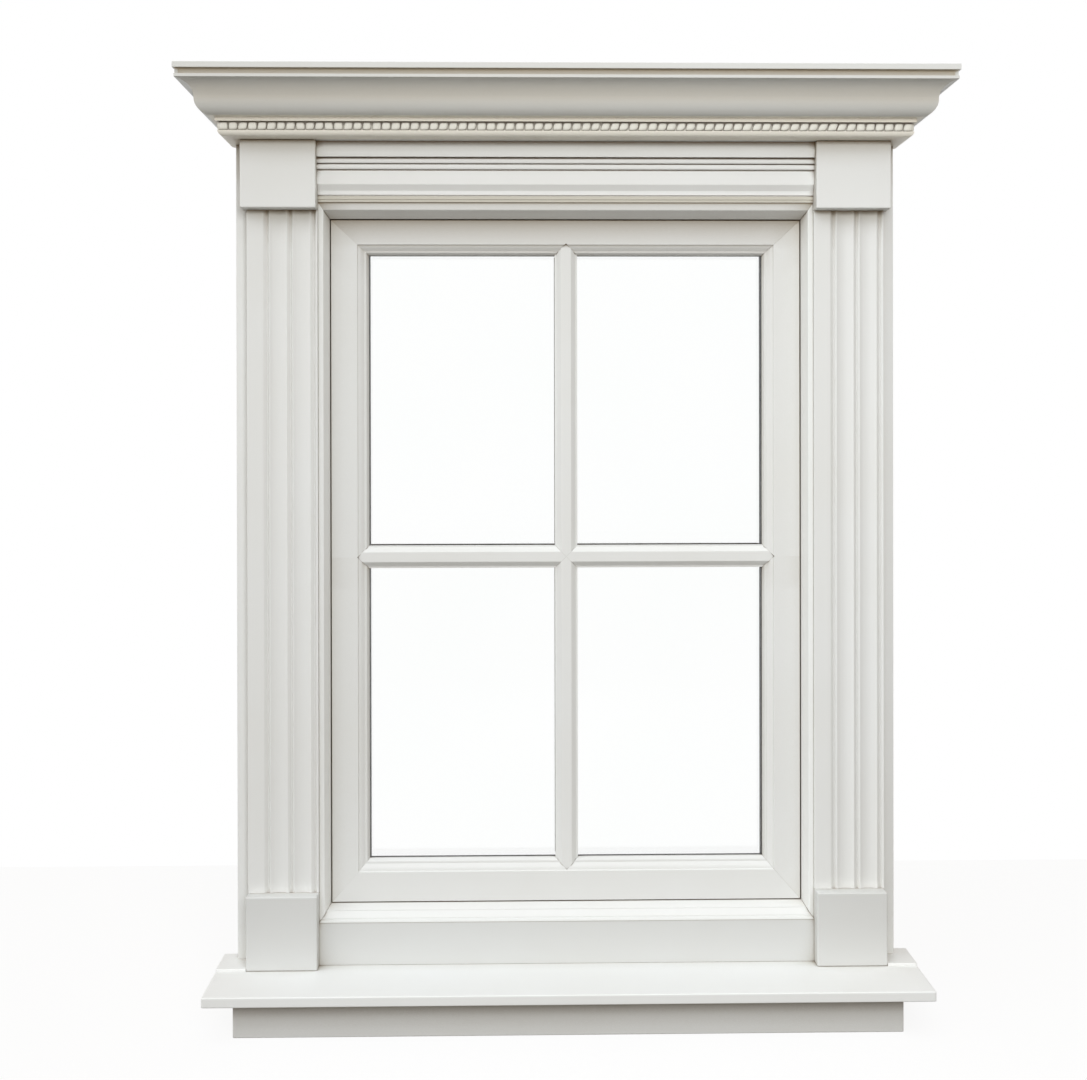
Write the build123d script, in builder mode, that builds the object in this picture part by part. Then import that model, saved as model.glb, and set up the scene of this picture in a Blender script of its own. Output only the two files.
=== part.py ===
from build123d import *
import os

# Double glazed casement window in a classical timber surround, in millimetres.
# X runs to the right, the front faces -Y and Z is up. Y = 0 is the face of the wall,
# and the origin is the centre of the sill's back face, which rests on the wall.
os.makedirs("parts", exist_ok=True)

# sash and its double glazed unit
sash_width = 702
sash_height = 1020
sash_thick = 50
stile_width = 54
top_rail_width = 50
bottom_rail_width = 61
moulding_width = 16
moulding_step = 1.5
moulding_rise = 5.6
moulding_slope = 5.8
moulding_ledge = 1.5
moulding_edge = 3
rebate_front = 14
rebate_cover = 12
glass_thick = 4
glass_gap = 16
glass_clear = 1
spacer_width = 9.5

# glazing bars
bar_width = 34
bar_flat = 15
bar_ledge = 2.5
bar_slope = 6
bar_thick = 11
cross_spacer_width = 20

# window frame around the sash
sash_joint = 3
frame_reveal = 14.5
head_reveal = 21.5
frame_bevel = 7
frame_bevel_depth = 20
frame_proud = 14
frame_stop = 14
frame_width = 55
stop_cover = 9
nosing_proud = 18
nosing_slope = 7.7
nosing_slope_depth = 13
nosing_flat = 3.5
nosing_flat_depth = 20.5

# surround on the wall
board_thick = 20
board_margin = 19
pilaster_width = 105
pilaster_thick = 19
pilaster_round = 1.5
flute_starts = (25, 59.5)
flute_end = 94
flute_depth = 4.5
quirk_width = 5
quirk_depth = 4
quirk_rise = 4
block_width = 111
block_height = 100
block_drop = 12
block_thick = 38
block_round = 1.2
plinth_width = 104.5
plinth_height = 108.5
apron_height = 63
apron_thick = 17

# head architrave, from its lower edge up
fascia_thick = 23
upper_fascia_thick = 28
foot_cover = 2
ledge_cover = 3
architrave_foot = 4
architrave_ledge = 8.5
lower_fascia_low = 25
lower_fascia_high = 45.5
upper_fascia_low = 65
reed_seat = 1
reed_radius = 2.4
reed_pitch = 8.5

# sill and the board under it
sill_width = 1034
sill_depth = 148
sill_thick = 19
sill_step = 4
sill_fall = 0.5
sill_round = 2
drip_width = 6
drip_depth = 4
under_width = 960
under_height = 57
under_setback = 33

# crown and its carved bead course
crown_height = 92
ovolo_start = 4
ovolo_reach = 26
bead_low = 8
bead_high = 20
bead_seat = 20.5
bead_face = 27.5
bead_ground = 23.5
bead_pitch = 13.8
bead_slot = 2.4
bead_lean = 2.2
fillet_reach = 29
fillet_high = 25.5
swell_bulge = (42, 32)
swell_reach = 53.5
swell_high = 44.5
cove_low = 50
cove_hollow = (59.5, 64)
cove_reach = 75
cove_high = 71
bed_reach = 76
bed_high = 75.5
cap_low = 83.5
cap_reach = 78
cap_groove = 7
return_groove = 3

# places that follow from the sizes above
half_sash = sash_width / 2
half_sill = sill_width / 2
sill_top = sill_thick / 2
sill_floor = sill_top - sill_step
frame_low = sill_floor + apron_height
frame_sill = frame_low + head_reveal
sash_low = frame_sill + sash_joint
sash_high = sash_low + sash_height
frame_head = sash_high + sash_joint
head_low = frame_head + head_reveal
frame_side = half_sash + sash_joint
surround_side = frame_side + frame_reveal
block_low = head_low - block_drop
block_high = block_low + block_height
half_core = surround_side + block_width
half_boards = surround_side + pilaster_width + board_margin
plinth_side = surround_side + plinth_width
pilaster_low = sill_floor + plinth_height
frame_front = -board_thick - frame_proud
nosing_front = -board_thick - nosing_proud
sash_front = frame_front + frame_bevel_depth
sash_back = sash_front + sash_thick
glass_front = sash_front + rebate_front
inner_glass_front = glass_front + glass_thick + glass_gap
glass_back = inner_glass_front + glass_thick
rebate_offset = stile_width - rebate_cover
pane_side = half_sash - stile_width
pane_low = sash_low + bottom_rail_width
pane_high = sash_high - top_rail_width
bar_level = (pane_low + pane_high) / 2
block_front = -board_thick - block_thick
top_ratio = top_rail_width / stile_width
bottom_ratio = bottom_rail_width / stile_width
head_ratio = head_reveal / frame_reveal
unit_side = half_sash - rebate_offset - glass_clear
unit_low = sash_low + rebate_offset * bottom_ratio + glass_clear
unit_high = sash_high - rebate_offset * top_ratio - glass_clear


def save(piece, name):
    # label one finished piece and write it out
    piece.part.label = name
    export_step(piece.part, "parts/" + name + ".step")


def box_between(low, high, mode=Mode.ADD):
    # plain block between two opposite corners
    size = [b - a for a, b in zip(low, high)]
    middle = tuple((a + b) / 2 for a, b in zip(low, high))
    with Locations(middle):
        Box(*size, mode=mode)


def cut_plane(x, z, across, up):
    # upright plane through (x, z), seen from the front; its kept side lies along (across, up)
    return Plane(origin=(x, 0, z), z_dir=(across, 0, up))


def sash_section(plane, ratio):
    # rail or stile section: distance in from the outer edge, then depth
    face = (stile_width - moulding_width) * ratio
    end = stile_width * ratio
    middle = face + moulding_slope * ratio
    step_depth = sash_front + moulding_step
    ledge_depth = sash_front + moulding_rise
    edge_depth = glass_front - moulding_edge
    with BuildSketch(plane) as section:
        with BuildLine():
            Polyline(
                (0, sash_front),
                (face, sash_front),
                (face, step_depth),
                (middle, ledge_depth),
                (middle + moulding_ledge, ledge_depth),
                (end, edge_depth),
                (end, glass_front),
                (rebate_offset * ratio, glass_front),
                (rebate_offset * ratio, sash_back),
                (0, sash_back),
                close=True,
            )
        make_face()
    return section.sketch


def frame_section(plane, ratio, face):
    # frame section: distance out from its inner edge, then depth; face is its front, from
    # the joint round the sash outwards
    stop = -(stop_cover + sash_joint) * ratio
    stop_depth = sash_back + frame_stop
    with BuildSketch(plane) as section:
        with BuildLine():
            Polyline(
                *face,
                (face[-1][0], 0),
                (frame_width, 0),
                (frame_width, stop_depth),
                (stop, stop_depth),
                (stop, sash_back),
                (0, sash_back),
                close=True,
            )
        make_face()
    return section.sketch


def bevelled_face(ratio):
    # bevel and flat of the jambs and the frame's head
    return [(0, sash_front), (frame_bevel * ratio, frame_front), (frame_reveal * ratio, frame_front)]


# Sections are drawn as (offset, depth). A stile's offset runs towards the middle of
# the window and its depth runs back, so each plane below turns them into place.
def upright_plane(x, low, inward):
    return Plane(origin=(x, 0, low), x_dir=(inward, 0, 0), z_dir=(0, 0, inward))


def level_plane(start, z, up):
    return Plane(origin=(start, 0, z), x_dir=(0, 0, up), z_dir=(-up, 0, 0))


# window frame
frame_run = frame_head - frame_sill + 2 * frame_width
with BuildPart() as jamb_right:
    jamb_plane = upright_plane(frame_side, frame_sill - frame_width, 1)
    extrude(frame_section(jamb_plane, 1, bevelled_face(1)), amount=frame_run)
    split(bisect_by=cut_plane(frame_side, frame_head, head_reveal, -frame_reveal), keep=Keep.TOP)
    split(bisect_by=cut_plane(frame_side, frame_sill, head_reveal, frame_reveal), keep=Keep.TOP)
save(jamb_right, "jamb_right")

with BuildPart() as jamb_left:
    mirror(jamb_right.part, about=Plane.YZ)
save(jamb_left, "jamb_left")

frame_half = frame_side + frame_width
with BuildPart() as frame_head_rail:
    head_plane = level_plane(frame_half, frame_head, 1)
    extrude(frame_section(head_plane, head_ratio, bevelled_face(head_ratio)), amount=2 * frame_half)
    split(bisect_by=cut_plane(frame_side, frame_head, -head_reveal, frame_reveal), keep=Keep.TOP)
    split(bisect_by=cut_plane(-frame_side, frame_head, head_reveal, frame_reveal), keep=Keep.TOP)
save(frame_head_rail, "frame_head")

# the frame's sill slopes out to a nosing over the apron board
nosing_face = [
    (0, sash_front),
    (nosing_slope, sash_front - nosing_slope_depth),
    (head_reveal - nosing_flat, sash_front - nosing_flat_depth),
    (head_reveal - nosing_flat, nosing_front),
    (head_reveal, nosing_front),
]
with BuildPart() as frame_sill_rail:
    nosing_plane = level_plane(-frame_half, frame_sill, -1)
    extrude(frame_section(nosing_plane, head_ratio, nosing_face), amount=2 * frame_half)
    split(bisect_by=cut_plane(frame_side, frame_sill, -head_reveal, -frame_reveal), keep=Keep.TOP)
    split(bisect_by=cut_plane(-frame_side, frame_sill, head_reveal, -frame_reveal), keep=Keep.TOP)
save(frame_sill_rail, "frame_sill")


def bar_notch(plane):
    # V notch where a glazing bar's pointed end lies in the sash moulding
    with BuildSketch(plane) as notch:
        with BuildLine():
            Polyline((0, -bar_width / 2), (bar_width / 2, 0), (0, bar_width / 2), close=True)
        make_face()
    extrude(notch.sketch, amount=glass_front - sash_front + moulding_step, mode=Mode.SUBTRACT)


def notch_plane(x, z, across, up):
    return Plane(origin=(x, glass_front, z), x_dir=(across, 0, up), z_dir=(0, -1, 0))


# sash, mitred at its corners
with BuildPart() as stile_right:
    extrude(sash_section(upright_plane(half_sash, sash_low, -1), 1), amount=-sash_height)
    split(bisect_by=cut_plane(half_sash, sash_high, top_rail_width, -stile_width), keep=Keep.TOP)
    split(bisect_by=cut_plane(half_sash, sash_low, bottom_rail_width, stile_width), keep=Keep.TOP)
    bar_notch(notch_plane(pane_side, bar_level, 1, 0))
save(stile_right, "sash_stile_right")

with BuildPart() as stile_left:
    mirror(stile_right.part, about=Plane.YZ)
save(stile_left, "sash_stile_left")

with BuildPart() as top_rail:
    extrude(sash_section(level_plane(-half_sash, sash_high, -1), top_ratio), amount=sash_width)
    split(bisect_by=cut_plane(half_sash, sash_high, -top_rail_width, stile_width), keep=Keep.TOP)
    split(bisect_by=cut_plane(-half_sash, sash_high, top_rail_width, stile_width), keep=Keep.TOP)
    bar_notch(notch_plane(0, pane_high, 0, 1))
save(top_rail, "sash_top_rail")

with BuildPart() as bottom_rail:
    extrude(sash_section(level_plane(half_sash, sash_low, 1), bottom_ratio), amount=sash_width)
    split(bisect_by=cut_plane(half_sash, sash_low, -bottom_rail_width, -stile_width), keep=Keep.TOP)
    split(bisect_by=cut_plane(-half_sash, sash_low, bottom_rail_width, -stile_width), keep=Keep.TOP)
    bar_notch(notch_plane(0, pane_low, 0, -1))
save(bottom_rail, "sash_bottom_rail")


def bar_section(plane):
    # glazing bar section: across the bar, then out from the glass
    half = bar_width / 2
    ledge = half - bar_ledge
    ledge_rise = bar_thick - bar_slope
    with BuildSketch(plane) as section:
        with BuildLine():
            Polyline(
                (-half, 0),
                (-half, ledge_rise),
                (-ledge, ledge_rise),
                (-bar_flat / 2, bar_thick),
                (bar_flat / 2, bar_thick),
                (ledge, ledge_rise),
                (half, ledge_rise),
                (half, 0),
                close=True,
            )
        make_face()
    return section.sketch


def glazing_bar(name, direction, reach):
    # one arm from the crossing outwards, pointed at both ends with square mitres
    across, up = direction
    middle = Plane(origin=(0, glass_front, bar_level), x_dir=(-up, 0, across), z_dir=(across, 0, up))
    tip_x = across * (reach + bar_width / 2)
    tip_z = bar_level + up * (reach + bar_width / 2)
    with BuildPart() as arm:
        extrude(bar_section(middle), amount=reach + bar_width / 2)
        for lean in (-1, 1):
            lean_x = across + lean * up
            lean_z = up + lean * across
            split(bisect_by=cut_plane(0, bar_level, lean_x, lean_z), keep=Keep.TOP)
            split(bisect_by=cut_plane(tip_x, tip_z, -lean_x, -lean_z), keep=Keep.TOP)
    save(arm, name)


glazing_bar("glazing_bar_right", (1, 0), pane_side)
glazing_bar("glazing_bar_left", (-1, 0), pane_side)
glazing_bar("glazing_bar_top", (0, 1), pane_high - bar_level)
glazing_bar("glazing_bar_bottom", (0, -1), bar_level - pane_low)

# double glazed unit
for name, front in (("outer_glass", glass_front), ("inner_glass", inner_glass_front)):
    with BuildPart() as glass:
        box_between((-unit_side, front, unit_low), (unit_side, front + glass_thick, unit_high))
    save(glass, name)

spacer_front = glass_front + glass_thick
with BuildPart() as spacer_uprights:
    for side in (-1, 1):
        with Locations((side * (unit_side - spacer_width / 2), spacer_front, (unit_low + unit_high) / 2)):
            Box(spacer_width, glass_gap, unit_high - unit_low, align=(Align.CENTER, Align.MIN, Align.CENTER))
save(spacer_uprights, "spacer_uprights")

spacer_run = 2 * (unit_side - spacer_width)
with BuildPart() as spacer_rails:
    for level in (unit_low + spacer_width / 2, unit_high - spacer_width / 2):
        with Locations((0, spacer_front, level)):
            Box(spacer_run, glass_gap, spacer_width, align=(Align.CENTER, Align.MIN, Align.CENTER))
save(spacer_rails, "spacer_rails")

with BuildPart() as cross_spacer:
    with Locations((0, spacer_front, bar_level)):
        Box(spacer_run, glass_gap, cross_spacer_width, align=(Align.CENTER, Align.MIN, Align.CENTER))
    box_between(
        (-cross_spacer_width / 2, spacer_front, unit_low + spacer_width),
        (cross_spacer_width / 2, spacer_front + glass_gap, unit_high - spacer_width),
    )
save(cross_spacer, "cross_spacer")


def bead_section(plane, width):
    # rear glazing bead section: distance in from the rebate wall, then depth
    depth = sash_back - glass_back
    with BuildSketch(plane) as section:
        with BuildLine():
            Polyline((0, 0), (width, 0), (width, depth / 2), (width / 2, depth), (0, depth), close=True)
        make_face()
    return section.sketch


# beads that hold the unit from behind, and the rear glazing bars between them
bead_side = half_sash - rebate_offset
bead_floor = sash_low + rebate_offset * bottom_ratio
bead_roof = sash_high - rebate_offset * top_ratio
for name, side, foot in (("rear_bead_left", -1, bead_floor), ("rear_bead_right", 1, bead_roof)):
    start = Plane(origin=(side * bead_side, glass_back, foot), x_dir=(-side, 0, 0), z_dir=(0, 0, -side))
    with BuildPart() as bead:
        extrude(bead_section(start, rebate_cover), amount=bead_roof - bead_floor)
    save(bead, name)
bead_run = bead_side - rebate_cover
for name, level, up, width in (
    ("rear_bead_top", bead_roof, -1, rebate_cover * top_ratio),
    ("rear_bead_bottom", bead_floor, 1, rebate_cover * bottom_ratio),
):
    start = Plane(origin=(up * bead_run, glass_back, level), x_dir=(0, 0, up), z_dir=(-up, 0, 0))
    with BuildPart() as bead:
        extrude(bead_section(start, width), amount=2 * bead_run)
    save(bead, name)

with BuildPart() as rear_bar_upright:
    extrude(bar_section(Plane.XY.move(Location((0, glass_back, pane_low)))), amount=pane_high - pane_low)
save(rear_bar_upright, "rear_bar_upright")
for name, side in (("rear_bar_left", -1), ("rear_bar_right", 1)):
    root = (side * bar_width / 2, glass_back, bar_level)
    with BuildPart() as rear_bar:
        start = Plane(origin=root, x_dir=(0, 0, -side), z_dir=(side, 0, 0))
        extrude(bar_section(start), amount=pane_side - bar_width / 2)
    save(rear_bar, name)

# back boards on the wall
for name, side in (("back_board_left", -1), ("back_board_right", 1)):
    edges = sorted((side * surround_side, side * half_boards))
    with BuildPart() as board:
        box_between((edges[0], -board_thick, sill_floor), (edges[1], 0, block_high))
    save(board, name)
for name, low, high in (
    ("back_board_bottom", sill_floor, frame_low),
    ("back_board_head", head_low, block_high),
):
    with BuildPart() as board:
        box_between((-surround_side, -board_thick, low), (surround_side, 0, high))
    save(board, name)


def pilaster_section(plane):
    # fluted section: across from the left edge, then out from the back board
    face = pilaster_thick
    ends = flute_starts[1:] + (flute_end,)
    with BuildSketch(plane) as section:
        with BuildLine():
            Polyline((0, 0), (0, face - pilaster_round), (pilaster_round, face), (flute_starts[0], face))
            for start, end in zip(flute_starts, ends):
                quirk = start + quirk_width
                lip = quirk + quirk_rise
                Polyline((start, face), (quirk, face - quirk_depth), (lip, face))
                ThreePointArc((lip, face), ((lip + end) / 2, face - flute_depth), (end, face))
            quirk = flute_end + quirk_width
            Polyline(
                (flute_end, face),
                (quirk, face - quirk_depth),
                (quirk + quirk_rise, face),
                (pilaster_width, face),
                (pilaster_width, 0),
                (0, 0),
            )
        make_face()
    return section.sketch


# pilasters between plinth blocks and corner blocks
for name, left_edge in (
    ("pilaster_left", -surround_side - pilaster_width),
    ("pilaster_right", surround_side),
):
    with BuildPart() as pilaster:
        start = Plane(origin=(left_edge, -board_thick, block_low), x_dir=(1, 0, 0), z_dir=(0, 0, -1))
        extrude(pilaster_section(start), amount=block_low - pilaster_low)
    save(pilaster, name)

for name, side, width, low, high in (
    ("corner_block_left", -1, block_width, block_low, block_high),
    ("corner_block_right", 1, block_width, block_low, block_high),
    ("plinth_block_left", -1, plinth_width, sill_floor, pilaster_low),
    ("plinth_block_right", 1, plinth_width, sill_floor, pilaster_low),
):
    edges = sorted((side * surround_side, side * (surround_side + width)))
    with BuildPart() as block:
        box_between((edges[0], block_front, low), (edges[1], -board_thick, high))
        fillet(block.faces().sort_by(Axis.Y)[0].edges(), radius=block_round)
    save(block, name)

with BuildPart() as apron_board:
    apron_front = -board_thick - apron_thick
    box_between((-surround_side, apron_front, sill_floor), (surround_side, -board_thick, frame_low))
save(apron_board, "apron_board")

# head architrave: two flat bands with a pair of reeds between them and a cove below
architrave_height = block_high - head_low
with BuildPart() as head_architrave:
    start = Plane(origin=(surround_side, -board_thick, head_low), x_dir=(0, -1, 0), z_dir=(-1, 0, 0))
    with BuildSketch(start):
        with BuildLine():
            foot = frame_proud + foot_cover
            ledge = frame_proud + ledge_cover
            seat = fascia_thick - reed_seat
            Polyline(
                (0, 0),
                (foot, 0),
                (foot, architrave_foot),
                (ledge, architrave_foot),
                (ledge, architrave_ledge),
            )
            RadiusArc(
                (ledge, architrave_ledge),
                (fascia_thick, lower_fascia_low),
                lower_fascia_low - architrave_ledge,
            )
            Polyline(
                (fascia_thick, lower_fascia_low),
                (fascia_thick, lower_fascia_high),
                (seat, lower_fascia_high),
                (seat, upper_fascia_low),
                (upper_fascia_thick, upper_fascia_low),
                (upper_fascia_thick, architrave_height),
                (0, architrave_height),
                (0, 0),
            )
        make_face()
        reed_middle = (lower_fascia_high + upper_fascia_low) / 2
        for level in (reed_middle - reed_pitch / 2, reed_middle + reed_pitch / 2):
            with Locations((fascia_thick, level)):
                Circle(reed_radius)
    extrude(amount=2 * surround_side)
save(head_architrave, "head_architrave")

# sill: two raised horns beside the surround, and a front with a slight fall and a drip groove
with BuildPart() as sill:
    with BuildSketch(Plane(origin=(half_sill, 0, sill_top), x_dir=(0, -1, 0), z_dir=(-1, 0, 0))):
        with BuildLine():
            Polyline(
                (0, 0),
                (-block_front, 0),
                (-block_front, -sill_step),
                (sill_depth, -sill_step - sill_fall),
                (sill_depth, -sill_thick),
                (0, -sill_thick),
                close=True,
            )
        make_face()
        with Locations((sill_depth - under_setback / 2, -sill_thick)):
            Rectangle(drip_width, 2 * drip_depth, mode=Mode.SUBTRACT)
    extrude(amount=sill_width)
    fillet(sill.edges().group_by(Axis.Y)[0], radius=sill_round)
    box_between((-half_boards, -board_thick, sill_floor), (half_boards, 0, sill_top), mode=Mode.SUBTRACT)
    box_between(
        (-plinth_side, block_front, sill_floor),
        (plinth_side, -board_thick, sill_top),
        mode=Mode.SUBTRACT,
    )
save(sill, "sill")

with BuildPart() as under_sill:
    under_front = -sill_depth + under_setback
    box_between((-under_width / 2, under_front, -sill_top - under_height), (under_width / 2, 0, -sill_top))
    fillet(under_sill.faces().sort_by(Axis.Y)[0].edges(), radius=block_round)
save(under_sill, "under_sill_apron")

# crown: a solid core with mitred mouldings on its front and both ends
with BuildPart() as crown_core:
    box_between((-half_core, block_front, block_high), (half_core, 0, block_high + crown_height))
save(crown_core, "crown_core")


def crown_section(plane, groove):
    # crown section: out from the core, then up from its lower edge; groove is under its cap
    cap_recess = cap_reach - groove
    with BuildSketch(plane) as section:
        with BuildLine():
            Line((0, 0), (ovolo_start, 0))
            TangentArc((ovolo_start, 0), (ovolo_reach, bead_low), tangent=(1, 0))
            Polyline(
                (ovolo_reach, bead_low),
                (bead_seat, bead_low),
                (bead_seat, bead_high),
                (fillet_reach, bead_high),
                (fillet_reach, fillet_high),
            )
            ThreePointArc((fillet_reach, fillet_high), swell_bulge, (swell_reach, swell_high))
            Line((swell_reach, swell_high), (swell_reach, cove_low))
            ThreePointArc((swell_reach, cove_low), cove_hollow, (cove_reach, cove_high))
            Polyline(
                (cove_reach, cove_high),
                (bed_reach, cove_high),
                (bed_reach, bed_high),
                (cap_recess, bed_high),
                (cap_recess, cap_low),
                (cap_reach, cap_low),
                (cap_reach, crown_height),
                (0, crown_height),
                (0, 0),
            )
        make_face()
    return section.sketch


def corner_cut(side, across, forward):
    # upright 45 degree plane through a front corner of the core
    return Plane(origin=(side * half_core, block_front, 0), z_dir=(across, forward, 0))


front_plane = Plane(
    origin=(half_core + cap_reach, block_front, block_high), x_dir=(0, -1, 0), z_dir=(-1, 0, 0)
)
end_plane = Plane(origin=(half_core, 0, block_high), x_dir=(1, 0, 0), z_dir=(0, -1, 0))
front_run = 2 * (half_core + cap_reach)
end_run = cap_reach - block_front

with BuildPart() as crown_front:
    extrude(crown_section(front_plane, cap_groove), amount=front_run)
    split(bisect_by=corner_cut(1, -1, -1), keep=Keep.TOP)
    split(bisect_by=corner_cut(-1, 1, -1), keep=Keep.TOP)
save(crown_front, "crown_front")

with BuildPart() as crown_right:
    extrude(crown_section(end_plane, return_groove), amount=end_run)
    split(bisect_by=corner_cut(1, 1, 1), keep=Keep.TOP)
save(crown_right, "crown_return_right")

with BuildPart() as crown_left:
    mirror(crown_right.part, about=Plane.YZ)
save(crown_left, "crown_return_left")


def bead_strip(start, run):
    # strip of slanted beads: a plain strip with leaning slots cut down to its ground
    depth = bead_face - bead_seat
    middle = ((bead_seat + bead_face) / 2, (bead_low + bead_high) / 2)
    face = Plane(origin=start.origin, x_dir=-start.z_dir, z_dir=start.x_dir).offset(bead_ground)
    with BuildSketch(start) as strip:
        with Locations(middle):
            Rectangle(depth, bead_high - bead_low)
    extrude(strip.sketch, amount=run)
    with BuildSketch(face) as slots:
        for index in range(int(run // bead_pitch)):
            place = -index * bead_pitch - bead_pitch / 2
            with BuildLine():
                Polyline(
                    (place, bead_low),
                    (place + bead_slot, bead_low),
                    (place + bead_slot + bead_lean, bead_high),
                    (place + bead_lean, bead_high),
                    close=True,
                )
            make_face()
    extrude(slots.sketch, amount=depth, mode=Mode.SUBTRACT)


with BuildPart() as bead_front:
    bead_strip(front_plane, front_run)
    split(bisect_by=corner_cut(1, -1, -1), keep=Keep.TOP)
    split(bisect_by=corner_cut(-1, 1, -1), keep=Keep.TOP)
save(bead_front, "bead_course_front")

with BuildPart() as bead_ends:
    bead_strip(end_plane, end_run)
    split(bisect_by=corner_cut(1, 1, 1), keep=Keep.TOP)
    mirror(about=Plane.YZ)
save(bead_ends, "bead_course_ends")
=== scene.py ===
import bpy
import bmesh
import numpy as np
from math import radians
from mathutils import Matrix, Vector


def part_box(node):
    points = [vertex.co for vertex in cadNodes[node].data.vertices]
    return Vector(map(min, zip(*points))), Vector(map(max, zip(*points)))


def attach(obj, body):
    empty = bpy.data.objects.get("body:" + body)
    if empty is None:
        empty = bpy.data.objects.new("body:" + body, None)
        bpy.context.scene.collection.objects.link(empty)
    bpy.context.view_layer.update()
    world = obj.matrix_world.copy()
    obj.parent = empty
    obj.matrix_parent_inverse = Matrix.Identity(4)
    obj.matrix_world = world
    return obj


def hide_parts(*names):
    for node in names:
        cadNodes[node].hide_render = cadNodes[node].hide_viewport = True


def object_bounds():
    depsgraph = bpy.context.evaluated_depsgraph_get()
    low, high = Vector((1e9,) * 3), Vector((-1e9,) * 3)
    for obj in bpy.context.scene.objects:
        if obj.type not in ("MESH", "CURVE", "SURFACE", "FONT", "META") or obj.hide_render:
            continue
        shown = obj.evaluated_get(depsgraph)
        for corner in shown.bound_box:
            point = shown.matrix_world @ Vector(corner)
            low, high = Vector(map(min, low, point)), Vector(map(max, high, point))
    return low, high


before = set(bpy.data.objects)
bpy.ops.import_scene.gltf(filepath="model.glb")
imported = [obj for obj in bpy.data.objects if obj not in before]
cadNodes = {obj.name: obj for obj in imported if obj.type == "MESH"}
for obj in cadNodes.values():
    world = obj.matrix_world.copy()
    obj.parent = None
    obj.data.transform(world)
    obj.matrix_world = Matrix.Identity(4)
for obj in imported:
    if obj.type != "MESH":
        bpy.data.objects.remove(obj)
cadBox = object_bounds()
millimetre = 0.001  # in metres: lengths below are in millimetres, except where a note says metres
right, back, up = np.eye(3)
print("frame loaded:", len(cadNodes), "nodes")

# how edges are shaped: points on a softened corner and on an eased end, the points that keep the
# flats flat beside them, and the distance under which two points are one
edgeShape = {"cornerSteps": 8, "endSteps": 5, "support": 0.5, "supportShare": 0.2, "endSupport": 0.6, "least": 0.02}


# lowest and highest corner of a CAD node
def boxOf(node):
    low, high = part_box(node)
    return np.array(low) / millimetre, np.array(high) / millimetre


# rows of a rectangle from its lower left corner, with the same cut at every corner
def rectangle(width, tall, cut):
    return [(0, 0, cut), (width, 0, cut), (width, tall, cut), (0, tall, cut)]


# closed section from rows of (across, out, cut): a corner becomes the curve
# (1 - t)^2 enter + 2 t (1 - t) corner + t^2 leave, which begins and ends its cut away from the
# corner; where two cuts have no room on one side, both shrink
def softened(rows, steps=edgeShape["cornerSteps"]):
    rows = np.array(rows, float)
    corner, cut = rows[:, :2], rows[:, 2]
    ahead = np.roll(corner, -1, 0) - corner
    length = np.maximum(np.linalg.norm(ahead, axis=1), 1e-6)
    room = length / np.maximum(cut + np.roll(cut, -1), 1e-6)
    cut = cut * np.minimum(1, np.minimum(room, np.roll(room, 1)))
    flat = np.maximum(length - cut - np.roll(cut, -1), 0)
    spare = np.minimum(edgeShape["support"], edgeShape["supportShare"] * flat)
    toNext = ahead / length[:, None]
    toLast = -np.roll(toNext, 1, 0)
    enter = corner + toLast * cut[:, None]
    leave = corner + toNext * cut[:, None]
    t = np.linspace(0, 1, steps)[None, :, None]
    curve = (1 - t) ** 2 * enter[:, None] + 2 * t * (1 - t) * corner[:, None] + t**2 * leave[:, None]
    before = (enter + toLast * np.roll(spare, 1)[:, None])[:, None]
    after = (leave + toNext * spare[:, None])[:, None]
    loop = np.concatenate([before, curve, after], 1).reshape(-1, 2)
    loop = loop[np.linalg.norm(loop - np.roll(loop, 1, 0), axis=1) > edgeShape["least"]]
    following = np.roll(loop, -1, 0)
    area = np.sum(loop[:, 0] * following[:, 1] - following[:, 0] * loop[:, 1])
    return loop if area > 0 else loop[::-1]


# outward direction at each point of a section: a right angle from the line between the points
# on either side of it
def outwardOf(loop):
    along = np.roll(loop, -1, 0) - np.roll(loop, 1, 0)
    along /= np.maximum(np.linalg.norm(along, axis=1), 1e-9)[:, None]
    return np.stack([along[:, 1], -along[:, 0]], 1)


# carries a section (u, v) along a straight run: point = origin + u across + v out + t along, with
# t from the start cut to the end cut, which may differ for each point, as at a mitre; an eased
# end turns through the angles a from 0 to a right angle, drawn in by ease (1 - sin a) and set
# back by ease stretch (1 - cos a)
def carried(loop, origin, across, out, along, start, end, ease=(0, 0), stretch=1):
    origin, across, out, along = (np.array(a, float) for a in (origin, across, out, along))
    start = np.broadcast_to(np.asarray(start, float), len(loop))
    end = np.broadcast_to(np.asarray(end, float), len(loop))
    outward = outwardOf(loop)
    rings = []
    for cut, way, size in ((start, 1, ease[0]), (end, -1, ease[1])):
        turns = np.linspace(0, np.pi / 2, edgeShape["endSteps"]) if size > 0 else np.array([np.pi / 2])
        inset = size * (1 - np.sin(turns))
        travel = size * stretch * (1 - np.cos(turns))
        if size > 0:
            inset, travel = np.append(inset, 0), np.append(travel, size * (stretch + edgeShape["endSupport"]))
        flat = loop[None] - outward[None] * inset[:, None, None]
        t = cut[None] + way * travel[:, None]
        ring = origin + flat[..., :1] * across + flat[..., 1:] * out + t[..., None] * along
        rings.append(ring if way == 1 else ring[::-1])
    rings = np.concatenate(rings)
    grid = np.arange(rings.shape[0] * rings.shape[1]).reshape(rings.shape[:2])
    following = np.roll(grid, -1, 1)
    quads = np.stack([grid[:-1], following[:-1], following[1:], grid[1:]], -1).reshape(-1, 4)
    return rings.reshape(-1, 3), quads, [grid[0], grid[-1][::-1]]


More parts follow.
